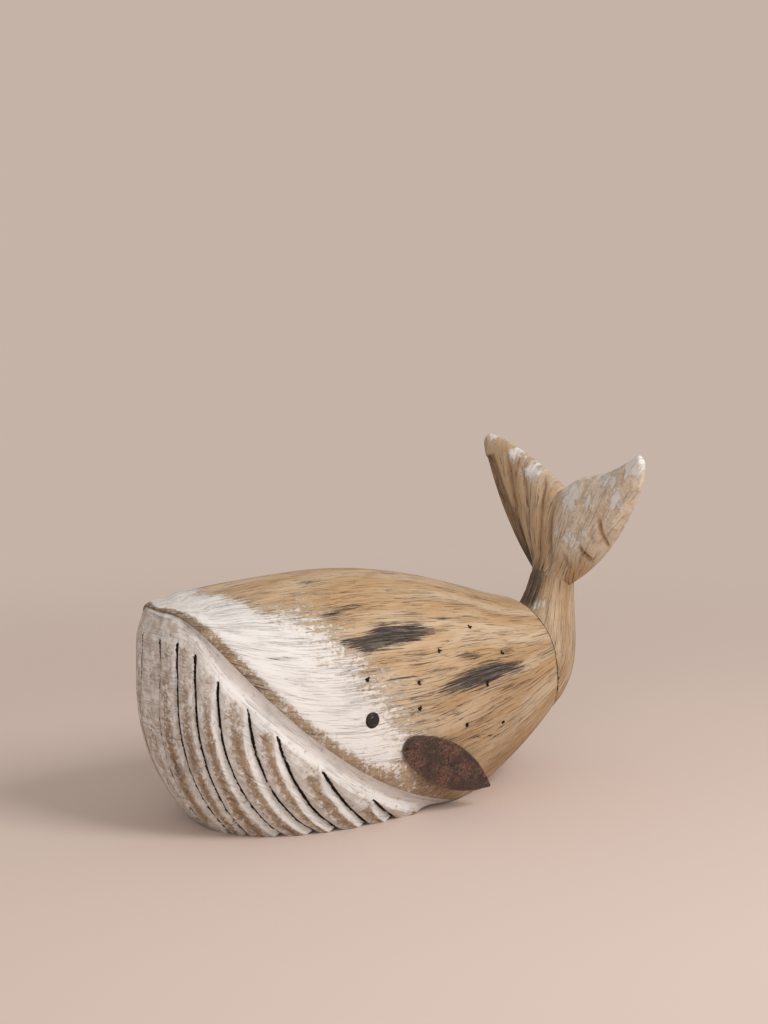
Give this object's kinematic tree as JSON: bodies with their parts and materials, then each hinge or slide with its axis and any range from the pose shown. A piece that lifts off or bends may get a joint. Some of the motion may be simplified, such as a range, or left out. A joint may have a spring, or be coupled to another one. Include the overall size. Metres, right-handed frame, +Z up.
{
  "type": "whale figurine",
  "caption": "Hand-carved wooden whale with a flat base, a carved mouth and throat pleats, an upswept tail with flukes, peg eyes, and sheet-iron side fins that turn on their nails.",
  "frame": {"origin": "on the surface the whale stands on, under the middle of its length and width", "axes": "+X runs from the nose to the tail, +Y to the whale's right, +Z up"},
  "size_m": [0.3182, 0.1608, 0.2107],
  "materials": {
    "body_wood": "worn whitewash over bare weathered wood",
    "tail_wood": "bare weathered wood with traces of whitewash",
    "dowel_wood": "plain turned wood",
    "eye": "black, slightly glossy",
    "fin_iron": "dark rust",
    "nail": "dark rust"
  },
  "bodies": {
    "whale": {"body": "body_wood", "tail": "tail_wood", "tail_dowel": "dowel_wood", "eye_left": "eye", "eye_right": "eye", "fin_nail_left": "nail", "fin_nail_right": "nail"},
    "left_fin": {"fin_left": "fin_iron"},
    "right_fin": {"fin_right": "fin_iron"}
  },
  "joints": [
    {"name": "fin_left_turn", "type": "hinge", "parent": "whale", "child": "left_fin", "pos_m": [-0.025, -0.06877, 0.0495], "axis": [0.0552, -0.9945, -0.0888], "range_deg": [-8, 55]},
    {"name": "fin_right_turn", "type": "hinge", "parent": "whale", "child": "right_fin", "pos_m": [-0.025, 0.06877, 0.0495], "axis": [-0.0552, -0.9945, 0.0888], "range_deg": [-8, 55]}
  ]
}
